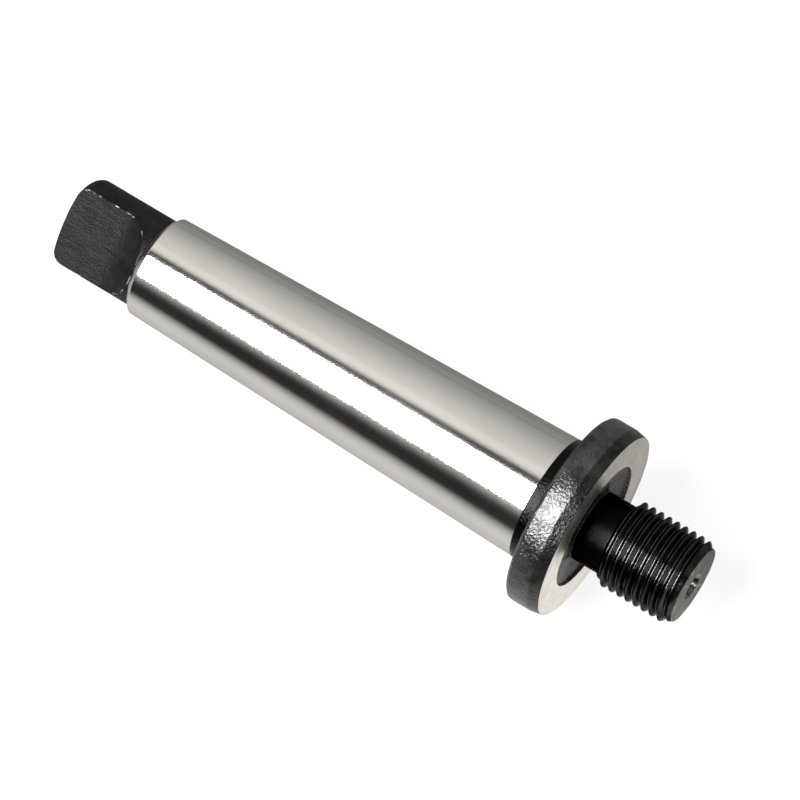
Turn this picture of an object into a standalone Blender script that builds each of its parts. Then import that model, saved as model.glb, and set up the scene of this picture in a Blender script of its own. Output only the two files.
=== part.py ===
"""Tanged Morse taper arbor with a collar and a threaded nose.

The arbor lies along the X axis, with its centre line on it. The origin is the centre of the
taper's gauge plane, where the socket that holds it has its nominal bore. +X points to the
threaded nose and +Z is up. The tang's upper flat is turned halfway from +Z to -Y. Sizes are
in metres.

The real arbor is turned from one bar. It is divided here where its machined sections meet,
and neighbouring sections keep a small gap at the plane that divides them.
"""

import math

import bmesh
import bpy
from mathutils import Matrix, Vector

MM = 0.001
SECTION_GAP = 0.3 * MM

# Taper shank, Morse No. 2
GAUGE_DIAMETER = 17.780 * MM
TAPER_ON_DIAMETER = 0.04995
SHANK_REAR_X = -59.0 * MM
SHANK_FRONT_X = 5.0 * MM
SHANK_CHAMFER = 0.8 * MM

# Drive tang
TANG_LENGTH = 13.2 * MM
TANG_DIAMETER = 13.2 * MM
TANG_THICKNESS = 6.3 * MM
TANG_CORNER_RADIUS = 1.6 * MM
TANG_END_DOME = 0.35 * MM
TANG_FLAT_LENGTH = 7.7 * MM
TANG_CUTTER_RADIUS = 6.0 * MM
TANG_TURN = math.radians(-45.0)  # from flats that face -Y and +Y, about +X
TANG_CENTRE_MOUTH_DIAMETER = 3.2 * MM
TANG_CENTRE_PILOT_DIAMETER = 1.6 * MM
TANG_CENTRE_DEPTH = 3.2 * MM

# Collar
COLLAR_NECK_LENGTH = 2.4 * MM
COLLAR_DIAMETER = 28.0 * MM
COLLAR_THICKNESS = 5.2 * MM
COLLAR_REAR_CHAMFER_DEPTH = 0.4 * MM
COLLAR_REAR_CHAMFER_LENGTH = 0.6 * MM
COLLAR_FRONT_CHAMFER_DEPTH = 0.3 * MM
COLLAR_FRONT_CHAMFER_LENGTH = 1.6 * MM
RELIEF_DIAMETER = 18.3 * MM
RELIEF_RIM_DEPTH = 0.5 * MM
RELIEF_RIM_SLOPE = 0.1 * MM
RELIEF_FLOOR_SLOPE = math.radians(20.0)
RELIEF_FILLET_RADIUS = 1.15 * MM
RELIEF_FILLET_TOP = 0.35 * MM

# Threaded nose, 1/2-20 UNF
NOSE_NECK_DIAMETER = 10.3 * MM
NOSE_LENGTH = 15.6 * MM
NOSE_END_CHAMFER_LENGTH = 1.2 * MM
NOSE_END_CHAMFER_DEPTH = 0.8 * MM
THREAD_MAJOR_DIAMETER = 12.7 * MM
THREAD_PITCH = 1.27 * MM
THREAD_START_FROM_FACE = 3.7 * MM
THREAD_START_CHAMFER = 0.7 * MM
NOSE_CENTRE_MOUTH_DIAMETER = 4.2 * MM
NOSE_CENTRE_PILOT_DIAMETER = 2.0 * MM
NOSE_CENTRE_DEPTH = 4.5 * MM

# Facets
TURNED_SEGMENTS = 64
THREAD_SEGMENTS = 48
ARC_STEPS = 8
CUTTER_REACH = 12.0 * MM
MERGE_DISTANCE = 1e-7
SMOOTH_ANGLE = math.radians(30.0)

REGISTER_FACE_X = SHANK_FRONT_X + COLLAR_NECK_LENGTH + COLLAR_THICKNESS
NOSE_END_X = REGISTER_FACE_X + NOSE_LENGTH
TANG_END_X = SHANK_REAR_X - TANG_LENGTH


def taper_radius(x):
    """Radius of the ground taper at a distance x in front of the gauge plane."""
    return (GAUGE_DIAMETER + TAPER_ON_DIAMETER * x) / 2


def arc(centre_x, centre_r, radius, start_deg, end_deg, steps=ARC_STEPS):
    """Points of an arc in the (x, r) plane, angles counted from +x towards +r."""
    points = []
    for step in range(steps + 1):
        angle = math.radians(start_deg + (end_deg - start_deg) * step / steps)
        points.append((centre_x + radius * math.cos(angle), centre_r + radius * math.sin(angle)))
    return points


def centre_hole(face_x, inward, mouth_diameter, pilot_diameter, depth):
    """Profile of a 60 degree centre hole, from its bottom on the axis to its mouth."""
    mouth_r = mouth_diameter / 2
    pilot_r = pilot_diameter / 2
    cone_length = (mouth_r - pilot_r) / math.tan(math.radians(30.0))
    return [
        (face_x + inward * depth, 0.0),
        (face_x + inward * depth, pilot_r),
        (face_x + inward * cone_length, pilot_r),
        (face_x, mouth_r),
    ]


def steel(name, colour, roughness):
    """A metal finish."""
    material = bpy.data.materials.new(name)
    material.use_nodes = True
    shader = material.node_tree.nodes["Principled BSDF"]
    shader.inputs["Base Color"].default_value = (*colour, 1.0)
    shader.inputs["Metallic"].default_value = 1.0
    shader.inputs["Roughness"].default_value = roughness
    return material


def finish_object(bm, name, material):
    """Turn a bmesh into a smooth-shaded object in the scene."""
    bmesh.ops.remove_doubles(bm, verts=bm.verts, dist=MERGE_DISTANCE)
    bmesh.ops.recalc_face_normals(bm, faces=bm.faces)
    mesh = bpy.data.meshes.new(name)
    bm.to_mesh(mesh)
    bm.free()
    mesh.shade_smooth()
    mesh.set_sharp_from_angle(angle=SMOOTH_ANGLE)
    if material:
        mesh.materials.append(material)
    shape = bpy.data.objects.new(name, mesh)
    bpy.context.scene.collection.objects.link(shape)
    return shape


def mark_as_cutter(shape):
    """Keep a cutting shape out of the finished model."""
    shape.hide_render = True
    shape.display_type = "WIRE"


def turned(name, profile, material, segments=TURNED_SEGMENTS):
    """Spin an (x, r) profile, which starts and ends on the axis, once about the X axis."""
    bm = bmesh.new()
    verts = [bm.verts.new((x, 0.0, r)) for x, r in profile]
    edges = [bm.edges.new(pair) for pair in zip(verts, verts[1:])]
    bmesh.ops.spin(
        bm,
        geom=verts + edges,
        cent=(0.0, 0.0, 0.0),
        axis=(1.0, 0.0, 0.0),
        angle=math.tau,
        steps=segments,
        use_merge=True,
    )
    return finish_object(bm, name, material)


def cut(shape, cutter, operation):
    """Add an exact Boolean to a shape."""
    modifier = shape.modifiers.new(operation.title(), "BOOLEAN")
    modifier.operation = operation
    modifier.solver = "EXACT"
    modifier.object = cutter


def make_flat_cutter():
    """The milling cutter's path on both sides of the tang, flat and then curving out."""
    flat_y = TANG_THICKNESS / 2
    flat_end_x = TANG_END_X + TANG_FLAT_LENGTH
    outline = [(TANG_END_X - CUTTER_REACH, flat_y)]
    outline += arc(flat_end_x, flat_y + TANG_CUTTER_RADIUS, TANG_CUTTER_RADIUS, -90.0, 0.0, 2 * ARC_STEPS)
    outline += [(outline[-1][0], CUTTER_REACH), (outline[0][0], CUTTER_REACH)]
    bm = bmesh.new()
    verts = [bm.verts.new((x, y, -CUTTER_REACH)) for x, y in outline]
    face = bm.faces.new(verts)
    extruded = bmesh.ops.extrude_face_region(bm, geom=[face])
    top_verts = [item for item in extruded["geom"] if isinstance(item, bmesh.types.BMVert)]
    bmesh.ops.translate(bm, verts=top_verts, vec=(0.0, 0.0, 2 * CUTTER_REACH))
    bmesh.ops.mirror(bm, geom=bm.verts[:] + bm.edges[:] + bm.faces[:], axis="Y", merge_dist=-1.0)
    tang_turn = Matrix.Rotation(TANG_TURN, 3, "X")
    bmesh.ops.rotate(bm, verts=bm.verts, cent=(0.0, 0.0, 0.0), matrix=tang_turn)
    cutter = finish_object(bm, "tang_flat_cutter", None)
    mark_as_cutter(cutter)
    return cutter


def domed_end(mouth_r):
    """Outline of the tang's end, from the centre hole's mouth over the dome and the corner."""
    corner = TANG_CORNER_RADIUS
    corner_r = TANG_DIAMETER / 2 - corner
    tilt = math.atan2(2 * TANG_END_DOME, corner_r - mouth_r)
    edge_r = corner_r + corner * math.sin(tilt)
    dome = []
    for step in range(1, ARC_STEPS):
        share = step / ARC_STEPS
        dome.append((TANG_END_X + TANG_END_DOME * share**2, mouth_r + (edge_r - mouth_r) * share))
    centre_x = TANG_END_X + TANG_END_DOME + corner * math.cos(tilt)
    return dome + arc(centre_x, corner_r, corner, 180.0 - math.degrees(tilt), 90.0)


def make_drive_tang(material):
    """The black tang: a round stub milled to two flats, with a slightly domed end."""
    radius = TANG_DIAMETER / 2
    front_x = SHANK_REAR_X - SECTION_GAP
    profile = centre_hole(
        TANG_END_X,
        1.0,
        TANG_CENTRE_MOUTH_DIAMETER,
        TANG_CENTRE_PILOT_DIAMETER,
        TANG_CENTRE_DEPTH,
    )
    profile += domed_end(TANG_CENTRE_MOUTH_DIAMETER / 2)
    profile += [(front_x, radius), (front_x, 0.0)]
    tang = turned("drive_tang", profile, material)
    cut(tang, make_flat_cutter(), "DIFFERENCE")
    return tang


def make_taper_shank(material):
    """The ground Morse taper that seats in the socket."""
    chamfer_x = SHANK_REAR_X + SHANK_CHAMFER
    profile = [
        (SHANK_REAR_X, 0.0),
        (SHANK_REAR_X, taper_radius(chamfer_x) - SHANK_CHAMFER),
        (chamfer_x, taper_radius(chamfer_x)),
        (SHANK_FRONT_X, taper_radius(SHANK_FRONT_X)),
        (SHANK_FRONT_X, 0.0),
    ]
    return turned("taper_shank", profile, material)


def relief_profile():
    """The dished relief in the register face, from its rim down to the nose's neck."""
    rim_r = RELIEF_DIAMETER / 2
    neck_r = NOSE_NECK_DIAMETER / 2
    fillet_x = REGISTER_FACE_X - RELIEF_FILLET_TOP
    slope_deg = math.degrees(RELIEF_FLOOR_SLOPE)
    fillet = arc(fillet_x, neck_r + RELIEF_FILLET_RADIUS, RELIEF_FILLET_RADIUS, 180.0 - slope_deg, 270.0)
    rim_foot_x = REGISTER_FACE_X - RELIEF_RIM_DEPTH
    return [(REGISTER_FACE_X, rim_r), (rim_foot_x, rim_r - RELIEF_RIM_SLOPE)] + fillet


def make_collar(material):
    """The plain neck, the collar with its register face, and the relief inside that face."""
    neck_r = taper_radius(SHANK_FRONT_X)
    collar_r = COLLAR_DIAMETER / 2
    rear_x = SHANK_FRONT_X + SECTION_GAP
    collar_rear_x = SHANK_FRONT_X + COLLAR_NECK_LENGTH
    profile = [
        (rear_x, 0.0),
        (rear_x, neck_r),
        (collar_rear_x, neck_r),
        (collar_rear_x, collar_r - COLLAR_REAR_CHAMFER_DEPTH),
        (collar_rear_x + COLLAR_REAR_CHAMFER_LENGTH, collar_r),
        (REGISTER_FACE_X - COLLAR_FRONT_CHAMFER_LENGTH, collar_r),
        (REGISTER_FACE_X, collar_r - COLLAR_FRONT_CHAMFER_DEPTH),
    ]
    profile += relief_profile()
    profile += [(REGISTER_FACE_X - RELIEF_FILLET_TOP, 0.0)]
    return turned("collar", profile, material)


def make_thread_form():
    """An endless 60 degree thread with sharp crests, longer than the nose at both ends."""
    height = THREAD_PITCH * math.cos(math.radians(30.0))
    major_r = THREAD_MAJOR_DIAMETER / 2
    root_r = major_r - height * 17 / 24
    crest_r = major_r + height / 8
    root_width = THREAD_PITCH / 6
    first_x = REGISTER_FACE_X - THREAD_PITCH
    turns = math.ceil(NOSE_LENGTH / THREAD_PITCH) + 2
    one_pitch = [
        (first_x, root_r),
        (first_x + root_width, root_r),
        (first_x + (THREAD_PITCH + root_width) / 2, crest_r),
        (first_x + THREAD_PITCH, root_r),
    ]
    bm = bmesh.new()
    verts = [bm.verts.new((x, 0.0, r)) for x, r in one_pitch]
    edges = [bm.edges.new(pair) for pair in zip(verts, verts[1:])]
    bmesh.ops.spin(
        bm,
        geom=verts + edges,
        cent=(0.0, 0.0, 0.0),
        axis=(1.0, 0.0, 0.0),
        dvec=(THREAD_PITCH / THREAD_SEGMENTS, 0.0, 0.0),
        angle=math.tau * turns,
        steps=THREAD_SEGMENTS * turns,
    )
    bmesh.ops.remove_doubles(bm, verts=bm.verts, dist=MERGE_DISTANCE)
    close_thread_ends(bm)
    half_facet = Matrix.Rotation(math.pi / THREAD_SEGMENTS, 3, "X")
    bmesh.ops.rotate(bm, verts=bm.verts, cent=(0.0, 0.0, 0.0), matrix=half_facet)
    form = finish_object(bm, "thread_form", None)
    mark_as_cutter(form)
    return form


def close_thread_ends(bm):
    """Draw each open end of the thread form together to a point on the axis."""
    low_x = min(vert.co.x for vert in bm.verts) - THREAD_PITCH
    high_x = max(vert.co.x for vert in bm.verts) + THREAD_PITCH
    middle_x = (low_x + high_x) / 2
    open_edges = [edge for edge in bm.edges if edge.is_boundary]
    extruded = bmesh.ops.extrude_edge_only(bm, edges=open_edges)
    for vert in (item for item in extruded["geom"] if isinstance(item, bmesh.types.BMVert)):
        vert.co = Vector((low_x if vert.co.x < middle_x else high_x, 0.0, 0.0))
    bmesh.ops.remove_doubles(bm, verts=bm.verts, dist=MERGE_DISTANCE)


def make_threaded_nose(material):
    """The smooth neck and the external thread, with a centre hole in the end face."""
    neck_r = NOSE_NECK_DIAMETER / 2
    major_r = THREAD_MAJOR_DIAMETER / 2
    neck_x = REGISTER_FACE_X - RELIEF_FILLET_TOP + SECTION_GAP
    thread_x = REGISTER_FACE_X + THREAD_START_FROM_FACE
    profile = [
        (neck_x, 0.0),
        (neck_x, neck_r),
        (thread_x, neck_r),
        (thread_x + THREAD_START_CHAMFER, major_r),
        (NOSE_END_X - NOSE_END_CHAMFER_LENGTH, major_r),
        (NOSE_END_X, major_r - NOSE_END_CHAMFER_DEPTH),
    ]
    profile += reversed(
        centre_hole(
            NOSE_END_X,
            -1.0,
            NOSE_CENTRE_MOUTH_DIAMETER,
            NOSE_CENTRE_PILOT_DIAMETER,
            NOSE_CENTRE_DEPTH,
        )
    )
    nose = turned("threaded_nose", profile, material, THREAD_SEGMENTS)
    cut(nose, make_thread_form(), "INTERSECT")
    return nose


def main():
    for shape in list(bpy.data.objects):
        bpy.data.objects.remove(shape, do_unlink=True)
    black_milled = steel("black milled steel", (0.035, 0.036, 0.038), 0.45)
    ground = steel("ground steel", (0.62, 0.61, 0.59), 0.22)
    black_scale = steel("black scaled steel", (0.030, 0.030, 0.033), 0.40)
    black_thread = steel("black oiled steel", (0.022, 0.022, 0.024), 0.25)
    make_drive_tang(black_milled)
    make_taper_shank(ground)
    make_collar(black_scale)
    make_threaded_nose(black_thread)


main()
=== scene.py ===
"""Threaded Morse taper arbor: finished pieces, steels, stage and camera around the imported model.

The file is laid out as an add-on. Each piece of the arbor has its sizes and colours in a
property group and is made by one operator, and the panel in the sidebar lists the operators.
The arbor's centre line is the X axis, +X points to the threaded nose, and sizes are in metres.
"""

import math

import bmesh
import bpy
from bpy.props import FloatProperty, FloatVectorProperty, IntProperty, PointerProperty
from mathutils import Matrix, Vector, noise


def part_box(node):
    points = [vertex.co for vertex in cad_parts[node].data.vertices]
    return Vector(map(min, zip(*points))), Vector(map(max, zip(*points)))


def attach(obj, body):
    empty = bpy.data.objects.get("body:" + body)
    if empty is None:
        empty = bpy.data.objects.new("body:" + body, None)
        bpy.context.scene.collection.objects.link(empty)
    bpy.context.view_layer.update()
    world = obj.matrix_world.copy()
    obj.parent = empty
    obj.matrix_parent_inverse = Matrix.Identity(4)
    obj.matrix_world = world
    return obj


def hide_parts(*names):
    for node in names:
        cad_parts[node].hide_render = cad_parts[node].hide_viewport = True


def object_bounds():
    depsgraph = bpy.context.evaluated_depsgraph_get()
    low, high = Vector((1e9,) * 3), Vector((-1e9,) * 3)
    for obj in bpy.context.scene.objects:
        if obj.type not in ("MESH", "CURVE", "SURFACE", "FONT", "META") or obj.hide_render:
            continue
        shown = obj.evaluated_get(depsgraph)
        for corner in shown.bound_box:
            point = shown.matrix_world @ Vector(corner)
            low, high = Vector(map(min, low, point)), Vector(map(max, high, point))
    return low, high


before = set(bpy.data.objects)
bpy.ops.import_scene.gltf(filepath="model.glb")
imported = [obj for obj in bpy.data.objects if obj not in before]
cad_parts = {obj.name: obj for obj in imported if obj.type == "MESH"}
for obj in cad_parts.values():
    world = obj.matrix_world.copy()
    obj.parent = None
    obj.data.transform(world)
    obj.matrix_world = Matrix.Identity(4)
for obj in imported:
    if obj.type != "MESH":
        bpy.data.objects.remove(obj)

bl_info = {
    "name": "Threaded Taper Arbor",
    "version": (1, 0, 0),
    "blender": (4, 5, 0),
    "location": "View3D > Sidebar > Arbor",
    "description": "Builds the finished pieces of a tanged Morse taper arbor with a threaded nose",
    "category": "Object",
}

CAD_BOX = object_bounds()
BODY = "root"
MM = 0.001

TANG_END_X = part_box("drive_tang")[0][0]
TANG_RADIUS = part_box("drive_tang")[1][2]
SHANK_REAR_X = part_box("taper_shank")[0][0]
SHANK_FRONT_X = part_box("taper_shank")[1][0]
SHANK_FRONT_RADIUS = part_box("taper_shank")[1][2]
REGISTER_FACE_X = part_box("collar")[1][0]
COLLAR_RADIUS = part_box("collar")[1][2]
NOSE_END_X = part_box("threaded_nose")[1][0]
THREAD_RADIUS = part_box("threaded_nose")[1][2]

MERGE_DISTANCE = 1e-7
DOME_STEPS = 16
SHARP_ANGLE = math.radians(32.0)

# The scale's pebbles fade out over this length behind the register face. The relief has them in
# front of a plane, and outside a radius that leaves the neck's fillet smooth.
PEBBLE_FADE = 0.4 * MM
PEBBLE_REAR_X = SHANK_FRONT_X + 4.0 * MM
FILLET_CLEAR_RADIUS = 5.6 * MM
COARSE_PEBBLES = 700.0
FINE_PEBBLES = 1900.0

FLOOR_REACH = 3.0
FLOOR_Z = CAD_BOX[0][2] - 0.02 * MM
CARD_GAP = 0.1 * MM

# Place, the direction its back is turned to, size and power.
FRONT_SOFTBOX = ((-0.335, -0.593, 0.805), (0.0, -0.593, 0.805), (0.57, 0.80), 43.0)
SIDE_LIGHT = ((0.74, -0.40, 0.54), (0.74, -0.40, 0.54), (0.14, 0.14), 0.9)

# The room's light by height angle, in degrees from the front horizon over the top to the back.
ROOM_PEAK = 1.2
ROOM_TINT = (1.0, 0.985, 0.95)
ROOM_LIGHT = (
    (0.0, 0.02),
    (11.0, 0.05),
    (17.0, 0.17),
    (23.0, 0.36),
    (36.0, 0.50),
    (76.0, 0.35),
    (80.0, 0.07),
    (87.0, 0.08),
    (91.5, 0.75),
    (96.0, 1.15),
    (104.0, 1.20),
    (114.0, 1.0),
    (128.0, 0.90),
    (156.0, 0.63),
    (170.0, 0.52),
    (180.0, 0.44),
)

# The light of each card on the floor by its place along Y, in millimetres from front to back.
SHANK_CARD = (
    (-110.0, 0.035),
    (-82.0, 0.09),
    (-63.0, 0.25),
    (-44.0, 0.58),
    (-31.0, 0.88),
    (-21.0, 0.95),
    (-12.0, 0.78),
    (-3.0, 0.42),
    (22.0, 0.26),
    (50.0, 0.33),
    (100.0, 0.40),
)
NOSE_CARD = (
    (-80.0, 0.05),
    (-50.0, 0.3),
    (-26.0, 1.0),
    (-4.0, 1.1),
    (12.0, 0.48),
    (70.0, 0.55),
)


# ---------------------------------------------------------------------------
# Settings
# ---------------------------------------------------------------------------


def length(name, description, default):
    """A size in metres that the panel shows."""
    return FloatProperty(
        name=name, description=description, default=default, unit="LENGTH", precision=5
    )


def colour(name, description, default):
    """A metal's own colour, linear."""
    return FloatVectorProperty(
        name=name,
        description=description,
        default=default,
        subtype="COLOR",
        size=3,
        min=0.0,
        max=1.0,
    )


class TangSettings(bpy.types.PropertyGroup):
    """Sizes and colours of the drive tang."""

    thickness: length("Thickness", "Distance between the two flats", 6.3 * MM)
    flat_length: length("Flat length", "Straight part of each flat, from the tang's end", 7.7 * MM)
    cutter_radius: length(
        "Cutter radius", "Radius of the run-out at the end of each flat", 6.0 * MM
    )
    turn: FloatProperty(
        name="Turn",
        description="Angle of the upper flat's normal, from +Z towards -Y",
        default=math.radians(45.0),
        subtype="ANGLE",
    )
    corner: length("Corner radius", "Rounding between the tang's side and its end", 1.6 * MM)
    end_dome: length("End dome", "Height of the slight dome on the tang's end", 0.35 * MM)
    hole_mouth: length("Centre hole", "Mouth radius of the centre hole", 1.6 * MM)
    hole_pilot: length("Centre hole pilot", "Radius of the centre hole's pilot", 0.8 * MM)
    hole_depth: length("Centre hole depth", "Depth of the centre hole's pilot", 3.2 * MM)
    segments: IntProperty(
        name="Segments", description="Facets around the tang", default=240, min=32
    )
    edge_round: length(
        "Edge rounding", "Width of the worn rounding along the flats' edges", 0.13 * MM
    )
    gloss: FloatProperty(
        name="Gloss", description="Specular level of the black", default=0.08, min=0.0, max=1.0
    )
    black: colour("Black", "Matte black left by heat treatment", (0.005, 0.005, 0.005))
    bare: colour("Bare steel", "Steel that shows where edges are worn", (0.34, 0.33, 0.32))


class ShankSettings(bpy.types.PropertyGroup):
    """Sizes and colours of the ground taper."""

    taper: FloatProperty(
        name="Taper", description="Change of diameter along the axis", default=0.04995, precision=5
    )
    chamfer: length("Chamfer", "Chamfer at the small end", 0.9 * MM)
    segments: IntProperty(
        name="Segments", description="Facets around the shank", default=256, min=32
    )
    steel: colour("Steel", "Ground steel", (0.60, 0.59, 0.57))


class CollarSettings(bpy.types.PropertyGroup):
    """Sizes and colours of the collar."""

    neck_length: length("Neck length", "Plain neck between the taper and the collar", 2.4 * MM)
    rear_chamfer: length(
        "Rear chamfer", "Depth of the rounding on the collar's rear edge", 0.4 * MM
    )
    rear_length: length("Rear chamfer length", "Length of that rounding along the axis", 0.6 * MM)
    front_chamfer: length(
        "Front chamfer", "Depth of the shallow chamfer on the front edge", 0.3 * MM
    )
    front_length: length("Front chamfer length", "Length of the shallow chamfer", 1.6 * MM)
    relief_radius: length(
        "Relief radius", "Radius of the dished relief at the register face", 9.15 * MM
    )
    relief_rim: length("Relief rim", "Depth of the relief's steep rim", 0.5 * MM)
    fillet: length("Fillet", "Fillet where the relief meets the nose's neck", 1.15 * MM)
    fillet_top: length(
        "Fillet top", "Depth below the face where the fillet ends on the neck", 0.35 * MM
    )
    segments: IntProperty(
        name="Segments", description="Facets around the collar", default=400, min=32
    )
    pebble: length("Pebble height", "Height of the scale's pebbles on the rim", 0.045 * MM)
    gloss: FloatProperty(
        name="Gloss", description="Specular level of the black", default=0.62, min=0.0, max=1.0
    )
    black: colour(
        "Black scale", "Black scale left by forging and heat treatment", (0.005, 0.005, 0.005)
    )
    # Painted shade: the neck behind the collar gets a near-black metal colour, partly its black
    # oxide and partly the shade that falls between the taper and the collar.
    neck_black_and_shade: colour(
        "Neck black", "Smooth black of the neck behind the collar", (0.008, 0.008, 0.008)
    )
    ground: colour("Ground face", "Ground steel of the register face", (0.72, 0.69, 0.65))


class NoseSettings(bpy.types.PropertyGroup):
    """Sizes and colours of the threaded nose."""

    neck_radius: length("Neck radius", "Smooth neck behind the thread", 5.15 * MM)
    pitch: length("Pitch", "Distance between thread crests", 1.27 * MM)
    thread_start: length("Thread start", "From the register face to the thread", 3.7 * MM)
    start_chamfer: length(
        "Start chamfer", "Length of the chamfer where the thread starts", 0.7 * MM
    )
    end_length: length("End chamfer length", "Length of the chamfer at the nose's end", 1.2 * MM)
    end_depth: length("End chamfer depth", "Depth of the chamfer at the nose's end", 0.80 * MM)
    hole_mouth: length("Centre hole", "Mouth radius of the centre hole", 2.1 * MM)
    hole_pilot: length("Centre hole pilot", "Radius of the centre hole's pilot", 1.0 * MM)
    hole_depth: length("Centre hole depth", "Depth of the centre hole's pilot", 4.5 * MM)
    segments: IntProperty(
        name="Segments", description="Facets around the thread", default=144, min=32
    )
    black: colour("Oiled black", "Glossy black of the thread", (0.052, 0.052, 0.050))
    hole: colour("Centre hole steel", "Steel inside the centre hole", (0.25, 0.24, 0.23))
    faced: colour("End face", "Dark grey faced steel of the nose's end", (0.085, 0.079, 0.073))


class StageSettings(bpy.types.PropertyGroup):
    """Camera, lights and floor."""

    azimuth: FloatProperty(
        name="Azimuth",
        description="Camera's turn about Z",
        default=math.radians(33.7),
        subtype="ANGLE",
    )
    elevation: FloatProperty(
        name="Elevation",
        description="Camera's height angle",
        default=math.radians(63.3),
        subtype="ANGLE",
    )
    roll: FloatProperty(name="Roll", description="Camera's roll", default=0.0, subtype="ANGLE")
    distance: length("Distance", "From the camera to the point it looks at", 0.75)
    focal_length: FloatProperty(name="Lens", description="Focal length in mm", default=250.8)
    target: FloatVectorProperty(
        name="Target",
        description="Point that the camera looks at",
        default=(-19.1 * MM, 0.88 * MM, 1.17 * MM),
        subtype="XYZ",
    )
    floor: colour("Floor", "Pale floor", (0.10, 0.10, 0.10))
    glow: FloatProperty(
        name="Floor glow", description="Light the floor gives", default=0.88, min=0.0
    )


# ---------------------------------------------------------------------------
# Shapes
# ---------------------------------------------------------------------------


def arc(centre_x, centre_r, radius, start_deg, end_deg, steps=8):
    """Points of an arc in the (x, r) plane, angles counted from +x towards +r."""
    points = []
    for step in range(steps + 1):
        angle = math.radians(start_deg + (end_deg - start_deg) * step / steps)
        points.append((centre_x + radius * math.cos(angle), centre_r + radius * math.sin(angle)))
    return points


def refined(profile, step):
    """The same outline with points no further apart than step."""
    points = [profile[0]]
    for (x0, r0), (x1, r1) in zip(profile, profile[1:]):
        pieces = max(1, math.ceil(math.hypot(x1 - x0, r1 - r0) / step))
        for k in range(1, pieces + 1):
            points.append((x0 + (x1 - x0) * k / pieces, r0 + (r1 - r0) * k / pieces))
    return points


def centre_hole(face_x, inward, mouth_r, pilot_r, depth):
    """Outline of a 60 degree centre hole, from its bottom on the axis to its mouth."""
    cone = (mouth_r - pilot_r) / math.tan(math.radians(30.0))
    return [
        (face_x + inward * (depth + 0.5 * pilot_r), 0.0),
        (face_x + inward * depth, pilot_r),
        (face_x + inward * cone, pilot_r),
        (face_x, mouth_r),
    ]


def spun(profile, segments):
    """A bmesh of an (x, r) outline, which starts and ends on the axis, turned once about X."""
    bm = bmesh.new()
    verts = [bm.verts.new((x, 0.0, r)) for x, r in profile]
    edges = [bm.edges.new(pair) for pair in zip(verts, verts[1:])]
    bmesh.ops.spin(
        bm,
        geom=verts + edges,
        cent=(0.0, 0.0, 0.0),
        axis=(1.0, 0.0, 0.0),
        angle=math.tau,
        steps=segments,
        use_merge=True,
    )
    bmesh.ops.remove_doubles(bm, verts=bm.verts, dist=MERGE_DISTANCE)
    bmesh.ops.recalc_face_normals(bm, faces=bm.faces)
    return bm


def finished(bm, name, material):
    """An object from a bmesh, smooth-shaded with crisp edges kept."""
    mesh = bpy.data.meshes.new(name)
    bm.to_mesh(mesh)
    bm.free()
    mesh.shade_smooth()
    mesh.set_sharp_from_angle(angle=SHARP_ANGLE)
    mesh.materials.append(material)
    piece = bpy.data.objects.new(name, mesh)
    bpy.context.scene.collection.objects.link(piece)
    return piece


def hand_over(piece, node):
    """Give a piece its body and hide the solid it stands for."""
    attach(piece, BODY)
    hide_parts(node)


def mill_flats(bm, settings):
    """Press a turned tang down to its two milled flats, with the cutter's run-out."""
    normal = Vector((0.0, -math.sin(settings.turn), math.cos(settings.turn)))
    flat_end_x = TANG_END_X + settings.flat_length
    cutter = settings.cutter_radius

    def depth_at(x):
        """Distance of the milled surface from the centre plane."""
        along = min(max(x - flat_end_x, 0.0), cutter)
        return settings.thickness / 2 + cutter - math.sqrt(cutter * cutter - along * along)

    def excess(point):
        return abs(point.dot(normal)) - depth_at(point.x)

    on_edge = {}
    for edge in bm.edges:
        a, b = edge.verts
        over_a, over_b = excess(a.co), excess(b.co)
        if over_a * over_b < 0.0:
            share = over_a / (over_a - over_b)
            crossing = a.co.lerp(b.co, share)
            near = a if share < 0.5 else b
            moved = (crossing - near.co).length
            if near not in on_edge or moved < on_edge[near][0]:
                on_edge[near] = (moved, crossing)
    pressed = [v for v in bm.verts if v not in on_edge and excess(v.co) > 0.0]
    for vert, (_, crossing) in on_edge.items():
        vert.co = crossing
    for vert in pressed:
        side = math.copysign(1.0, vert.co.dot(normal))
        vert.co -= normal * side * excess(vert.co)
    bmesh.ops.connect_verts(bm, verts=list(on_edge))
    bm.normal_update()
    creases = [
        edge
        for edge in bm.edges
        if edge.verts[0] in on_edge and edge.verts[1] in on_edge and edge.calc_face_angle(0.0) > 0.2
    ]
    rounded = bmesh.ops.bevel(
        bm,
        geom=creases,
        offset=settings.edge_round,
        offset_type="OFFSET",
        affect="EDGES",
        segments=2,
        profile=0.5,
        material=-1,
        clamp_overlap=True,
    )
    return {vert for face in rounded["faces"] for vert in face.verts}


# ---------------------------------------------------------------------------
# Steels
# ---------------------------------------------------------------------------


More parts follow.
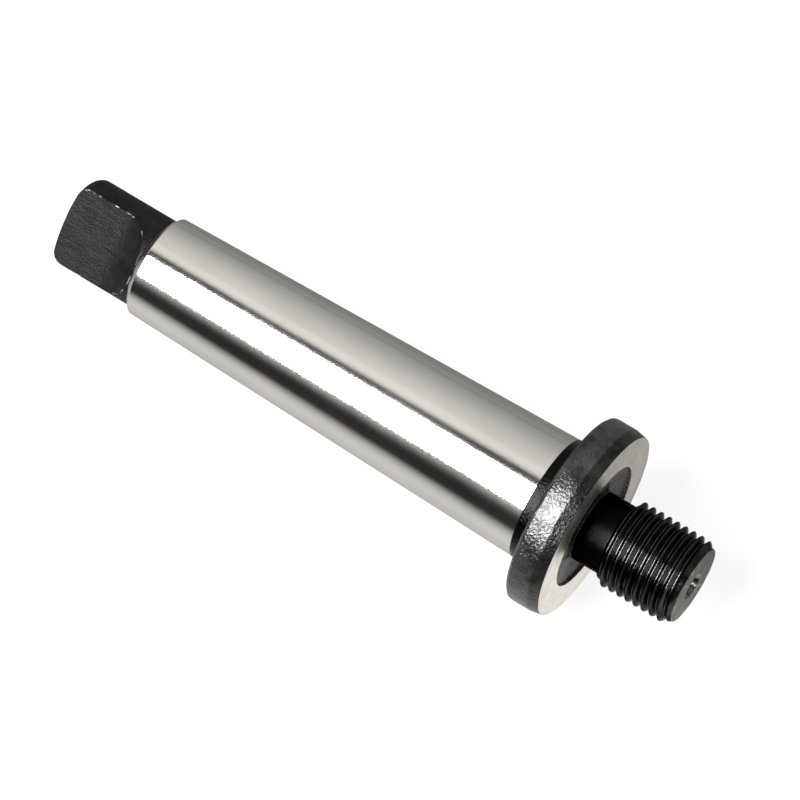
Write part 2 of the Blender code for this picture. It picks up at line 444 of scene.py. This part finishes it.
class Nodes:
    """An emptied node tree, with short calls to add to it."""

    def __init__(self, tree, place):
        self.tree = tree
        self.tree.nodes.clear()
        self.place = self.add("ShaderNodeTexCoord").outputs[place]

    def add(self, kind, **values):
        """A node with the given properties."""
        node = self.tree.nodes.new(kind)
        for key, value in values.items():
            setattr(node, key, value)
        return node

    def feed(self, socket, value):
        """Link an output to a socket, or set the socket's own value."""
        if isinstance(value, bpy.types.NodeSocket):
            self.tree.links.new(value, socket)
        else:
            socket.default_value = value

    def math(self, operation, *values, clamp=False):
        """A Math node's result."""
        node = self.add("ShaderNodeMath", operation=operation, use_clamp=clamp)
        for socket, value in zip(node.inputs, values):
            self.feed(socket, value)
        return node.outputs[0]

    def stretched(self, vector, scale):
        """A vector times a scale on each axis."""
        node = self.add("ShaderNodeVectorMath", operation="MULTIPLY")
        self.feed(node.inputs[0], vector)
        self.feed(node.inputs[1], scale)
        return node.outputs[0]

    def noise(self, vector, detail=2.0, roughness=0.5):
        """Noise from 0 to 1 on a vector that is already scaled."""
        node = self.add("ShaderNodeTexNoise")
        self.feed(node.inputs["Vector"], vector)
        self.feed(node.inputs["Scale"], 1.0)
        self.feed(node.inputs["Detail"], detail)
        self.feed(node.inputs["Roughness"], roughness)
        return node.outputs["Fac"]

    def ramp(self, value, low, high, out_low=0.0, out_high=1.0):
        """A value mapped from one range to another, and held inside it."""
        node = self.add("ShaderNodeMapRange", clamp=True)
        for socket, number in zip(node.inputs, (value, low, high, out_low, out_high)):
            self.feed(socket, number)
        return node.outputs[0]

    def blend(self, factor, first, second):
        """A colour between two."""
        node = self.add("ShaderNodeMix", data_type="RGBA")
        self.feed(node.inputs[0], factor)
        for socket, value in zip((node.inputs[6], node.inputs[7]), (first, second)):
            self.feed(socket, value)
        return node.outputs[2]

    def between(self, factor, first, second):
        """A number between two."""
        node = self.add("ShaderNodeMix", data_type="FLOAT")
        self.feed(node.inputs[0], factor)
        self.feed(node.inputs[2], first)
        self.feed(node.inputs[3], second)
        return node.outputs[0]

    def axes(self):
        """The x, y and z of the place on the arbor."""
        return self.add_outputs("ShaderNodeSeparateXYZ", self.place)

    def add_outputs(self, kind, value):
        """The outputs of a one-input node."""
        node = self.add(kind)
        self.feed(node.inputs[0], value)
        return node.outputs

    def radius(self):
        """Distance from the centre line."""
        node = self.add("ShaderNodeVectorMath", operation="LENGTH")
        self.feed(node.inputs[0], self.stretched(self.place, (0.0, 1.0, 1.0)))
        return node.outputs["Value"]

    def around(self):
        """A unit vector that changes only with the angle around the centre line."""
        node = self.add("ShaderNodeVectorMath", operation="NORMALIZE")
        self.feed(node.inputs[0], self.stretched(self.place, (0.0, 1.0, 1.0)))
        return node.outputs[0]

    def bump(self, height, distance, under=None):
        """A bumped normal, on top of another one if given."""
        node = self.add("ShaderNodeBump")
        self.feed(node.inputs["Strength"], 1.0)
        self.feed(node.inputs["Distance"], distance)
        self.feed(node.inputs["Height"], height)
        if under is not None:
            self.feed(node.inputs["Normal"], under)
        return node.outputs[0]

    def ring_vector(self, radius, scale):
        """A vector that changes only with the distance from the centre line."""
        return self.add_outputs("ShaderNodeCombineXYZ", self.math("MULTIPLY", radius, scale))[0]

    def colours(self, factor, stops):
        """Room-tinted light from (position, strength) stops."""
        node = self.add("ShaderNodeValToRGB")
        while len(node.color_ramp.elements) < len(stops):
            node.color_ramp.elements.new(1.0)
        for element, (position, strength) in zip(node.color_ramp.elements, stops):
            element.position = position
            element.color = opaque(ROOM_TINT, strength)
        self.feed(node.inputs[0], factor)
        return node.outputs[0]

    def mixed(self, factor, first, second):
        """A shader between two."""
        node = self.add("ShaderNodeMixShader")
        for socket, value in zip(node.inputs, (factor, first, second)):
            self.feed(socket, value)
        return node.outputs[0]

    def finish(self, shader, output):
        """Connect the tree's last shader."""
        self.feed(self.add(output).inputs["Surface"], shader)


class Steel(Nodes):
    """The node tree of a new metal finish."""

    def __init__(self, name):
        self.material = bpy.data.materials.new(name)
        self.material.use_nodes = True
        super().__init__(self.material.node_tree, "Object")
        self.shader = self.add("ShaderNodeBsdfPrincipled")
        self.finish(self.shader.outputs[0], "ShaderNodeOutputMaterial")

    def surface(self, colour, roughness, normal, bare=1.0, gloss=0.5, edge=(1.0, 1.0, 1.0, 1.0)):
        """Connect the finish.

        Bare is 1 for bright metal and 0 for metal under black oxide, gloss is how much the oxide
        reflects, and edge is how much bare metal keeps of its reflection at a grazing view.
        """
        self.feed(self.shader.inputs["Metallic"], bare)
        self.feed(self.shader.inputs["Base Color"], colour)
        self.feed(self.shader.inputs["Roughness"], roughness)
        self.feed(self.shader.inputs["Normal"], normal)
        self.feed(self.shader.inputs["Specular IOR Level"], gloss)
        self.feed(self.shader.inputs["Specular Tint"], edge)
        return self.material


def opaque(rgb, times=1.0):
    """A linear colour with alpha, made lighter or darker."""
    return (rgb[0] * times, rgb[1] * times, rgb[2] * times, 1.0)


def ground_steel(settings):
    """Cylindrically ground steel: fine rings and grain, and a soft change of tone."""
    nodes = Steel("ground_steel")
    rings = nodes.noise(nodes.stretched(nodes.place, (6000.0, 110.0, 110.0)), 3.0, 0.6)
    waver = nodes.noise(nodes.stretched(nodes.place, (2400.0, 700.0, 700.0)), 3.0, 0.6)
    grain = nodes.noise(nodes.stretched(nodes.place, (5200.0, 3600.0, 3600.0)), 2.0, 0.6)
    smudge = nodes.noise(nodes.stretched(nodes.place, (60.0, 160.0, 160.0)), 3.0, 0.5)
    colour = nodes.blend(
        nodes.ramp(smudge, 0.3, 0.7), opaque(settings.steel, 0.95), opaque(settings.steel, 1.04)
    )
    dull_rings = nodes.ramp(rings, 0.3, 0.7, 0.0, 0.03)
    roughness = nodes.math("ADD", dull_rings, nodes.ramp(smudge, 0.3, 0.7, 0.075, 0.10))
    normal = nodes.bump(rings, 0.0000022)
    normal = nodes.bump(grain, 0.000006, under=normal)
    normal = nodes.bump(waver, 0.000006, under=normal)
    return nodes.surface(colour, roughness, normal)


def black_scale(settings, neck_radius):
    """Black scaled steel, bare and ground on the register face, with painted shade on its own rear
    neck and a painted highlight ring beside the nose's neck.
    """
    nodes = Steel("black_scaled_steel")
    x, _, _ = nodes.axes()
    radius = nodes.radius()
    ragged = nodes.noise(nodes.stretched(nodes.place, (0.0, 1800.0, 1800.0)), 3.0, 0.6)
    stray = nodes.math("MULTIPLY", nodes.math("SUBTRACT", ragged, 0.5), 0.35 * MM)
    face = nodes.ramp(x, REGISTER_FACE_X - 0.06 * MM, REGISTER_FACE_X - 0.02 * MM)
    inside = nodes.ramp(
        nodes.math("ADD", radius, stray), settings.relief_radius, settings.relief_radius + 0.08 * MM
    )
    ground = nodes.math("MULTIPLY", face, inside)

    pebbles = nodes.noise(nodes.stretched(nodes.place, (2600.0, 2600.0, 2600.0)), 2.0, 0.5)
    grit = nodes.noise(nodes.stretched(nodes.place, (8000.0, 8000.0, 8000.0)), 2.0, 0.6)
    patches = nodes.noise(nodes.stretched(nodes.place, (350.0, 350.0, 350.0)), 4.0, 0.6)
    scale_colour = nodes.blend(
        nodes.ramp(patches, 0.35, 0.65), opaque(settings.black, 0.6), opaque(settings.black, 1.5)
    )
    rear_x = SHANK_FRONT_X + settings.neck_length
    behind = nodes.math("SUBTRACT", 1.0, nodes.ramp(x, rear_x - 0.3 * MM, rear_x))
    # Painted shade: behind the collar's rear the neck becomes near-black bare metal, partly its
    # black oxide and partly the shade between the taper and the collar.
    scale_colour = nodes.blend(behind, scale_colour, opaque(settings.neck_black_and_shade))
    scale_rough = nodes.ramp(patches, 0.35, 0.65, 0.20, 0.33)

    rings = nodes.noise(nodes.ring_vector(radius, 5200.0), 3.0, 0.6)
    stain = nodes.noise(nodes.stretched(nodes.place, (500.0, 500.0, 500.0)), 4.0, 0.6)
    face_colour = nodes.blend(
        nodes.ramp(stain, 0.3, 0.75), opaque(settings.ground, 1.05), opaque(settings.ground, 0.76)
    )
    face_rough = nodes.ramp(rings, 0.3, 0.7, 0.24, 0.38)

    colour = nodes.blend(ground, scale_colour, face_colour)
    roughness = nodes.between(ground, scale_rough, face_rough)
    scale_height = nodes.math("ADD", pebbles, nodes.math("MULTIPLY", grit, 0.16))
    height = nodes.between(ground, scale_height, nodes.math("MULTIPLY", rings, 0.04))
    bare = nodes.math("MAXIMUM", ground, behind)

    chamfer_x = REGISTER_FACE_X - settings.front_length
    along = nodes.ramp(nodes.math("ADD", x, stray), chamfer_x - 0.1 * MM, chamfer_x + 0.1 * MM)
    outside = nodes.ramp(radius, settings.relief_radius, COLLAR_RADIUS - MM)
    dulled = nodes.math("MULTIPLY", nodes.math("MULTIPLY", along, outside), 0.6)
    burnt = nodes.ramp(patches, 0.35, 0.62, 0.55 * settings.gloss, 1.5 * settings.gloss)
    gloss = nodes.math("MULTIPLY", burnt, nodes.math("SUBTRACT", 1.0, dulled))

    shaded = nodes.ramp(radius, neck_radius + 1.3 * MM, neck_radius + 0.6 * MM, 1.0, 0.25)
    gloss = nodes.math("MULTIPLY", gloss, shaded)
    # Painted highlight: a thin ring of bright bare steel at the foot of the fillet, set there so
    # that it catches a glint from the lights.
    glint_ring = nodes.ramp(radius, neck_radius + 0.03 * MM, neck_radius + 0.015 * MM)
    colour = nodes.blend(glint_ring, colour, opaque(settings.ground, 0.3))
    bare = nodes.math("MAXIMUM", bare, glint_ring)
    roughness = nodes.between(glint_ring, roughness, 0.22)
    off_fillet = nodes.ramp(radius, neck_radius + 0.5 * MM, neck_radius + 1.5 * MM)
    height = nodes.math("MULTIPLY", height, off_fillet)
    return nodes.surface(colour, roughness, nodes.bump(height, 0.0001), bare, gloss)


def black_thread(settings, thread_x, end_x):
    """Oiled black steel, darkest on the neck as painted shade, with a faced end and a bare centre
    hole.
    """
    nodes = Steel("black_thread_steel")
    x, _, _ = nodes.axes()
    radius = nodes.radius()
    on_thread = nodes.ramp(x, thread_x - 0.1 * MM, thread_x + 0.3 * MM)
    end_face = nodes.ramp(x, end_x - 0.04 * MM, end_x - 0.01 * MM)
    in_hole = nodes.ramp(radius, settings.hole_mouth + 0.02 * MM, settings.hole_mouth)
    in_hole = nodes.math("MULTIPLY", in_hole, nodes.math("SUBTRACT", 1.0, end_face))
    drag = nodes.noise(nodes.stretched(nodes.place, (3600.0, 1100.0, 1100.0)), 3.0, 0.6)
    oil = nodes.noise(nodes.stretched(nodes.place, (500.0, 500.0, 500.0)), 3.0, 0.6)
    rays = nodes.noise(nodes.stretched(nodes.around(), (1.0, 5.0, 5.0)), 4.0, 0.7)
    thread_colour = nodes.blend(
        nodes.ramp(oil, 0.35, 0.65), opaque(settings.black, 0.7), opaque(settings.black, 1.3)
    )
    # Painted shade: the neck between the collar and the thread takes the black at 0.08 times, for
    # the shade the collar throws on it.
    thread_colour = nodes.blend(on_thread, opaque(settings.black, 0.08), thread_colour)
    # Radial streaks on the end face: lighter in colour, smoother, and raised in the bump.
    radial_streaks = nodes.math("MULTIPLY", nodes.ramp(rays, 0.48, 0.66), nodes.ramp(oil, 0.45, 0.6))
    end_colour = nodes.blend(radial_streaks, opaque(settings.faced, 0.9), opaque(settings.faced, 3.2))
    colour = nodes.blend(end_face, thread_colour, end_colour)
    colour = nodes.blend(in_hole, colour, opaque(settings.hole))
    oiled = nodes.between(on_thread, 0.36, nodes.ramp(oil, 0.3, 0.7, 0.14, 0.26))
    roughness = nodes.between(end_face, oiled, nodes.between(radial_streaks, 0.42, 0.22))
    height = nodes.between(end_face, drag, radial_streaks)
    edge = nodes.between(end_face, 0.4, 1.0)
    return nodes.surface(colour, roughness, nodes.bump(height, 0.00005), edge=edge)


def milled_black(settings):
    """Matte black steel with milling lines along the flats and bare steel on worn edges."""
    nodes = Steel("black_milled_steel")
    lines = nodes.noise(nodes.stretched(nodes.place, (180.0, 2900.0, 2900.0)), 3.0, 0.65)
    specks = nodes.noise(nodes.stretched(nodes.place, (2200.0, 3200.0, 3200.0)), 2.0, 0.5)
    blotch = nodes.noise(nodes.stretched(nodes.place, (420.0, 420.0, 420.0)), 4.0, 0.6)
    chips = nodes.noise(nodes.stretched(nodes.place, (850.0, 850.0, 850.0)), 3.0, 0.6)
    wear = nodes.add("ShaderNodeAttribute", attribute_name="wear").outputs["Fac"]
    worn = nodes.math("MULTIPLY", wear, nodes.ramp(chips, 0.53, 0.63))
    blotched = nodes.ramp(blotch, 0.3, 0.7)
    black = nodes.blend(blotched, opaque(settings.black, 0.55), opaque(settings.black, 1.45))
    colour = nodes.blend(worn, black, opaque(settings.bare))
    roughness = nodes.between(worn, nodes.ramp(lines, 0.3, 0.7, 0.36, 0.5), 0.32)
    normal = nodes.bump(specks, 0.00006, under=nodes.bump(lines, 0.00006))
    return nodes.surface(colour, roughness, normal, worn, settings.gloss)


# ---------------------------------------------------------------------------
# Operators
# ---------------------------------------------------------------------------


class ARBOR_OT_make_tang(bpy.types.Operator):
    """Make the black drive tang with its two milled flats"""

    bl_idname = "arbor.make_tang"
    bl_label = "Make drive tang"

    def execute(self, context):
        settings = context.scene.arbor_tang
        corner = settings.corner
        dome = settings.end_dome
        corner_r = TANG_RADIUS - corner
        mouth_r = settings.hole_mouth
        tilt = math.atan2(2 * dome, corner_r - mouth_r)
        edge_r = corner_r + corner * math.sin(tilt)
        mouth_x = TANG_END_X + 0.02 * MM
        profile = centre_hole(mouth_x, 1.0, mouth_r, settings.hole_pilot, settings.hole_depth)
        for step in range(1, DOME_STEPS):
            share = step / DOME_STEPS
            profile.append((TANG_END_X + dome * share**2, mouth_r + (edge_r - mouth_r) * share))
        corner_x = TANG_END_X + dome + corner * math.cos(tilt)
        profile += arc(corner_x, corner_r, corner, 180.0 - math.degrees(tilt), 90.0, 12)
        profile += refined([profile[-1], (SHANK_REAR_X, TANG_RADIUS)], 0.15 * MM)[1:]
        profile.append((SHANK_REAR_X, 0.0))
        bm = spun(profile, settings.segments)
        wear = bm.verts.layers.float.new("wear")
        for vert in mill_flats(bm, settings):
            vert[wear] = 1.0
        piece = finished(bm, "tang", milled_black(settings))
        hand_over(piece, "drive_tang")
        return {"FINISHED"}


class ARBOR_OT_make_shank(bpy.types.Operator):
    """Make the ground taper shank"""

    bl_idname = "arbor.make_shank"
    bl_label = "Make taper shank"

    def execute(self, context):
        settings = context.scene.arbor_shank
        chamfer_x = SHANK_REAR_X + settings.chamfer

        def taper_radius(x):
            return SHANK_FRONT_RADIUS - settings.taper / 2 * (SHANK_FRONT_X - x)

        profile = [
            (SHANK_REAR_X, 0.0),
            (SHANK_REAR_X, taper_radius(chamfer_x) - settings.chamfer),
            (chamfer_x - 0.06 * MM, taper_radius(chamfer_x) - 0.06 * MM),
            (chamfer_x - 0.015 * MM, taper_radius(chamfer_x) - 0.02 * MM),
            (chamfer_x + 0.05 * MM, taper_radius(chamfer_x)),
            (chamfer_x + 0.15 * MM, taper_radius(chamfer_x + 0.15 * MM)),
        ]
        profile += refined([profile[-1], (SHANK_FRONT_X, SHANK_FRONT_RADIUS)], 2.0 * MM)[1:]
        profile.append((SHANK_FRONT_X, 0.0))
        piece = finished(spun(profile, settings.segments), "shank", ground_steel(settings))
        hand_over(piece, "taper_shank")
        return {"FINISHED"}


class ARBOR_OT_make_collar(bpy.types.Operator):
    """Make the collar with its neck, pebbled rim, register face and dished relief"""

    bl_idname = "arbor.make_collar"
    bl_label = "Make collar"

    def execute(self, context):
        settings = context.scene.arbor_collar
        nose = context.scene.arbor_nose
        rear_x = SHANK_FRONT_X + settings.neck_length
        front_x = REGISTER_FACE_X
        fillet_x = front_x - settings.fillet_top
        rim = [
            (rear_x, SHANK_FRONT_RADIUS + 0.3 * MM),
            (rear_x, COLLAR_RADIUS - settings.rear_chamfer - 0.1 * MM),
            (rear_x + 0.1 * MM, COLLAR_RADIUS - settings.rear_chamfer),
            (rear_x + settings.rear_length * 0.55, COLLAR_RADIUS - settings.rear_chamfer * 0.25),
            (rear_x + settings.rear_length, COLLAR_RADIUS - 0.02 * MM),
            (rear_x + settings.rear_length + 0.3 * MM, COLLAR_RADIUS),
            (front_x - settings.front_length - 0.1 * MM, COLLAR_RADIUS),
            (front_x - settings.front_length + 0.1 * MM, COLLAR_RADIUS - 0.04 * MM),
            (front_x - 0.12 * MM, COLLAR_RADIUS - settings.front_chamfer),
            (front_x - 0.03 * MM, COLLAR_RADIUS - settings.front_chamfer - 0.04 * MM),
            (front_x, COLLAR_RADIUS - settings.front_chamfer - 0.12 * MM),
        ]
        profile = [(SHANK_FRONT_X, 0.0)]
        profile += refined(
            [
                (SHANK_FRONT_X, SHANK_FRONT_RADIUS),
                (SHANK_FRONT_X + 0.05 * MM, SHANK_FRONT_RADIUS + 0.03 * MM),
                (rear_x - 0.3 * MM, SHANK_FRONT_RADIUS + 0.03 * MM),
                (rear_x - 0.08 * MM, SHANK_FRONT_RADIUS + 0.1 * MM),
            ],
            0.2 * MM,
        )
        profile += refined(rim, 0.13 * MM)
        relief = [
            (front_x, settings.relief_radius + 0.05 * MM),
            (front_x - 0.05 * MM, settings.relief_radius),
            (front_x - settings.relief_rim, settings.relief_radius - 0.1 * MM),
        ]
        fillet_r = nose.neck_radius + settings.fillet
        relief += arc(fillet_x, fillet_r, settings.fillet, 160.0, 270.0, 12)
        profile += refined(relief, 0.2 * MM)
        profile.append((fillet_x, 0.0))
        bm = spun(profile, settings.segments)
        roughen(bm, settings)
        piece = finished(bm, "collar_and_neck", black_scale(settings, nose.neck_radius))
        hand_over(piece, "collar")
        return {"FINISHED"}


def roughen(bm, settings):
    """Raise the scale's pebbles on the collar's rim and in the relief, not on ground faces."""
    bm.normal_update()
    moves = []
    for vert in bm.verts:
        radius = math.hypot(vert.co.y, vert.co.z)
        on_rim = radius > COLLAR_RADIUS - settings.front_chamfer - 0.1 * MM
        in_relief = radius < settings.relief_radius - 0.05 * MM and vert.co.x > PEBBLE_REAR_X
        if not (on_rim or in_relief):
            continue
        near_face = min(1.0, max(0.0, (REGISTER_FACE_X - vert.co.x) / PEBBLE_FADE))
        near_neck = 1.0 if on_rim else min(1.0, max(0.0, (radius - FILLET_CLEAR_RADIUS) / MM))
        coarse = noise.noise(vert.co * COARSE_PEBBLES)
        fine = noise.noise(vert.co * FINE_PEBBLES + Vector((7.0, 3.0, 1.0)))
        height = settings.pebble * (0.6 * coarse + 0.5 * fine) * near_face * near_neck
        moves.append((vert, vert.normal * min(height, 0.0) if on_rim else vert.normal * height))
    for vert, move in moves:
        vert.co += move


def thread_outline(settings, first_x):
    """One pitch of a 60 degree thread with a rounded root and a rounded crest."""
    pitch = settings.pitch
    height = pitch * math.cos(math.radians(30.0))
    depth = height * 17 / 24
    root_round = height / 6
    crest_round = height - depth - root_round
    root_r = THREAD_RADIUS - depth
    points = arc(first_x, root_r + root_round, root_round, -90.0, -30.0, 3)
    points += arc(first_x + pitch / 2, THREAD_RADIUS - crest_round, crest_round, 150.0, 30.0, 6)
    points += arc(first_x + pitch, root_r + root_round, root_round, -150.0, -90.0, 3)
    return points


def blank_radius(x, outline):
    """Radius of a turned outline at x, from its (x, r) corners in order."""
    for (x0, r0), (x1, r1) in zip(outline, outline[1:]):
        if x <= x1:
            share = max(0.0, (x - x0) / (x1 - x0))
            return r0 + (r1 - r0) * share
    return outline[-1][1]


def thread_rod(settings, first_x, turns):
    """A bmesh of an endless thread that starts at first_x, open at both ends."""
    bm = bmesh.new()
    verts = [bm.verts.new((x, 0.0, r)) for x, r in thread_outline(settings, first_x)]
    edges = [bm.edges.new(pair) for pair in zip(verts, verts[1:])]
    bmesh.ops.spin(
        bm,
        geom=verts + edges,
        cent=(0.0, 0.0, 0.0),
        axis=(1.0, 0.0, 0.0),
        dvec=(settings.pitch / settings.segments, 0.0, 0.0),
        angle=math.tau,
        steps=settings.segments,
    )
    one_turn = bm.verts[:] + bm.edges[:] + bm.faces[:]
    for turn in range(1, turns):
        copied = bmesh.ops.duplicate(bm, geom=one_turn)["geom"]
        verts = [item for item in copied if isinstance(item, bmesh.types.BMVert)]
        bmesh.ops.translate(bm, verts=verts, vec=(turn * settings.pitch, 0.0, 0.0))
    bmesh.ops.remove_doubles(bm, verts=bm.verts, dist=MERGE_DISTANCE)
    return bm


def cut_square(bm, x, keep_low):
    """Cut a rod square to its axis at x, and return the edges of the open end."""
    bmesh.ops.bisect_plane(
        bm,
        geom=bm.verts[:] + bm.edges[:] + bm.faces[:],
        plane_co=(x, 0.0, 0.0),
        plane_no=(1.0, 0.0, 0.0),
        clear_outer=keep_low,
        clear_inner=not keep_low,
    )
    return [
        edge
        for edge in bm.edges
        if edge.is_boundary and all(abs(vert.co.x - x) < 0.001 * MM for vert in edge.verts)
    ]


def draw_in(bm, edges, outline):
    """Carry an open round end through the rings of an (x, r) outline, down to the axis."""
    for x, radius in outline:
        drawn = bmesh.ops.extrude_edge_only(bm, edges=edges)["geom"]
        edges = [item for item in drawn if isinstance(item, bmesh.types.BMEdge)]
        for vert in (item for item in drawn if isinstance(item, bmesh.types.BMVert)):
            share = radius / math.hypot(vert.co.y, vert.co.z)
            vert.co = Vector((x, vert.co.y * share, vert.co.z * share))
        edges = [edge for edge in edges if edge.is_boundary]


class ARBOR_OT_make_nose(bpy.types.Operator):
    """Make the threaded nose with its neck, chamfers and centre hole"""

    bl_idname = "arbor.make_nose"
    bl_label = "Make threaded nose"

    def execute(self, context):
        settings = context.scene.arbor_nose
        collar = context.scene.arbor_collar
        neck_x = REGISTER_FACE_X - collar.fillet_top
        thread_x = REGISTER_FACE_X + settings.thread_start
        end_r = THREAD_RADIUS - settings.end_depth
        blank = [
            (thread_x, settings.neck_radius),
            (thread_x + settings.start_chamfer, THREAD_RADIUS),
            (NOSE_END_X - settings.end_length, THREAD_RADIUS),
            (NOSE_END_X - 0.1 * MM, end_r),
            (NOSE_END_X, end_r - 0.12 * MM),
        ]
        turns = math.ceil((NOSE_END_X - neck_x) / settings.pitch) + 2
        bm = thread_rod(settings, neck_x - 1.5 * settings.pitch, turns)
        for vert in bm.verts:
            radius = math.hypot(vert.co.y, vert.co.z)
            share = min(1.0, blank_radius(vert.co.x, blank) / radius)
            vert.co = Vector((vert.co.x, vert.co.y * share, vert.co.z * share))
        hole = centre_hole(
            NOSE_END_X, -1.0, settings.hole_mouth, settings.hole_pilot, settings.hole_depth
        )
        face = refined([blank[-1], hole[-1]], 0.5 * MM)
        draw_in(bm, cut_square(bm, NOSE_END_X, True), face[1:] + hole[-2::-1])
        draw_in(bm, cut_square(bm, neck_x, False), [(neck_x, 0.0)])
        bmesh.ops.remove_doubles(bm, verts=bm.verts, dist=MERGE_DISTANCE)
        bmesh.ops.recalc_face_normals(bm, faces=bm.faces)
        piece = finished(bm, "nose", black_thread(settings, thread_x, NOSE_END_X))
        hand_over(piece, "threaded_nose")
        return {"FINISHED"}


def pale_floor(settings):
    """A plain pale floor that glows a little, so that shadows stay faint."""
    material = bpy.data.materials.new("pale_floor")
    material.use_nodes = True
    shader = material.node_tree.nodes["Principled BSDF"]
    shader.inputs["Base Color"].default_value = opaque(settings.floor)
    shader.inputs["Roughness"].default_value = 0.9
    shader.inputs["Specular IOR Level"].default_value = 0.0
    shader.inputs["Emission Color"].default_value = (1.0, 1.0, 1.0, 1.0)
    shader.inputs["Emission Strength"].default_value = settings.glow
    return material


def softbox(name, place, facing, size, power):
    """A rectangular light with its back turned to a direction."""
    light = bpy.data.lights.new(name, "AREA")
    light.shape = "RECTANGLE"
    light.size, light.size_y = size
    light.energy = power
    lamp = bpy.data.objects.new(name, light)
    lamp.location = place
    lamp.rotation_euler = Vector(facing).to_track_quat("Z", "Y").to_euler()
    lamp.visible_camera = False
    bpy.context.scene.collection.objects.link(lamp)
    return lamp


def set_world(scene):
    """A soft room around X: dark low in front, a dark gap overhead, bright behind, dim at +X."""
    world = bpy.data.worlds.new("studio")
    scene.world = world
    world.use_nodes = True
    nodes = Nodes(world.node_tree, "Generated")
    x, y, z = nodes.axes()
    height_angle = nodes.math("ARCTAN2", z, nodes.math("MULTIPLY", y, -1.0))
    height_angle = nodes.math("DIVIDE", height_angle, math.pi)
    stops = [(degrees / 180.0, tone / ROOM_PEAK) for degrees, tone in ROOM_LIGHT]
    light = nodes.colours(height_angle, stops)
    room = nodes.add("ShaderNodeBackground")
    nodes.feed(room.inputs["Color"], light)
    nodes.feed(room.inputs["Strength"], nodes.ramp(x, -0.14, 0.06, ROOM_PEAK, 0.3 * ROOM_PEAK))
    pale = nodes.add("ShaderNodeBackground")
    pale.inputs["Color"].default_value = (1.0, 1.0, 1.0, 1.0)
    seen = nodes.add("ShaderNodeLightPath").outputs["Is Camera Ray"]
    nodes.finish(nodes.mixed(seen, room.outputs[0], pale.outputs[0]), "ShaderNodeOutputWorld")


def shade_card(name, from_x, to_x, lights):
    """A card on the floor that only reflections see, its light changing from front to back."""
    material = bpy.data.materials.new(name)
    material.use_nodes = True
    nodes = Nodes(material.node_tree, "Object")
    _, y, _ = nodes.axes()
    place = nodes.ramp(y, lights[0][0] * MM, lights[-1][0] * MM)
    span = lights[-1][0] - lights[0][0]
    light = nodes.colours(place, [((at - lights[0][0]) / span, tone) for at, tone in lights])
    glow = nodes.add("ShaderNodeEmission")
    nodes.feed(glow.inputs["Color"], light)
    nodes.finish(glow.outputs[0], "ShaderNodeOutputMaterial")
    bm = bmesh.new()
    bmesh.ops.create_grid(bm, x_segments=1, y_segments=1, size=1.0)
    bmesh.ops.scale(bm, verts=bm.verts, vec=((to_x - from_x) / 2, FLOOR_REACH, 1.0))
    bmesh.ops.translate(bm, verts=bm.verts, vec=((to_x + from_x) / 2, 0.0, FLOOR_Z + CARD_GAP))
    card = finished(bm, name, material)
    card.visible_camera = False
    card.visible_diffuse = False
    card.visible_shadow = False


class ARBOR_OT_set_stage(bpy.types.Operator):
    """Set the pale floor, the soft lights and the camera"""

    bl_idname = "arbor.set_stage"
    bl_label = "Set stage"

    def execute(self, context):
        scene = context.scene
        settings = scene.arbor_stage
        bm = bmesh.new()
        bmesh.ops.create_grid(bm, x_segments=1, y_segments=1, size=FLOOR_REACH)
        bmesh.ops.translate(bm, verts=bm.verts, vec=(0.0, 0.0, FLOOR_Z))
        finished(bm, "floor", pale_floor(settings))
        shade_card("shank_card", -FLOOR_REACH, REGISTER_FACE_X, SHANK_CARD)
        shade_card("nose_card", REGISTER_FACE_X, FLOOR_REACH, NOSE_CARD)
        set_world(scene)
        softbox("front_softbox", *FRONT_SOFTBOX)
        softbox("side_light", *SIDE_LIGHT)

        az, el = settings.azimuth, settings.elevation
        back = Vector((math.sin(az) * math.cos(el), -math.cos(az) * math.cos(el), math.sin(el)))
        camera = bpy.data.cameras.new("camera")
        camera.lens = settings.focal_length
        camera.sensor_width = 36.0
        camera.clip_start = 0.01
        holder = bpy.data.objects.new("camera", camera)
        holder.location = Vector(settings.target) + back * settings.distance
        turn = back.to_track_quat("Z", "Y") @ Matrix.Rotation(settings.roll, 3, "Z").to_quaternion()
        holder.rotation_euler = turn.to_euler()
        scene.collection.objects.link(holder)
        scene.camera = holder
        scene.view_settings.view_transform = "Standard"
        return {"FINISHED"}


class ARBOR_PT_panel(bpy.types.Panel):
    """Steps that build the arbor"""

    bl_idname = "ARBOR_PT_panel"
    bl_label = "Threaded taper arbor"
    bl_space_type = "VIEW_3D"
    bl_region_type = "UI"
    bl_category = "Arbor"

    def draw(self, context):
        for operator in OPERATORS:
            self.layout.operator(operator.bl_idname)


SETTINGS = {
    "arbor_tang": TangSettings,
    "arbor_shank": ShankSettings,
    "arbor_collar": CollarSettings,
    "arbor_nose": NoseSettings,
    "arbor_stage": StageSettings,
}
OPERATORS = (
    ARBOR_OT_make_tang,
    ARBOR_OT_make_shank,
    ARBOR_OT_make_collar,
    ARBOR_OT_make_nose,
    ARBOR_OT_set_stage,
)


def register():
    for name, group in SETTINGS.items():
        bpy.utils.register_class(group)
        setattr(bpy.types.Scene, name, PointerProperty(type=group))
    for operator in OPERATORS:
        bpy.utils.register_class(operator)
    bpy.utils.register_class(ARBOR_PT_panel)


def unregister():
    bpy.utils.unregister_class(ARBOR_PT_panel)
    for operator in reversed(OPERATORS):
        bpy.utils.unregister_class(operator)
    for name, group in reversed(SETTINGS.items()):
        delattr(bpy.types.Scene, name)
        bpy.utils.unregister_class(group)


def main():
    register()
    bpy.ops.arbor.make_tang()
    bpy.ops.arbor.make_shank()
    bpy.ops.arbor.make_collar()
    bpy.ops.arbor.make_nose()
    bpy.ops.arbor.set_stage()


if __name__ == "__main__":
    main()
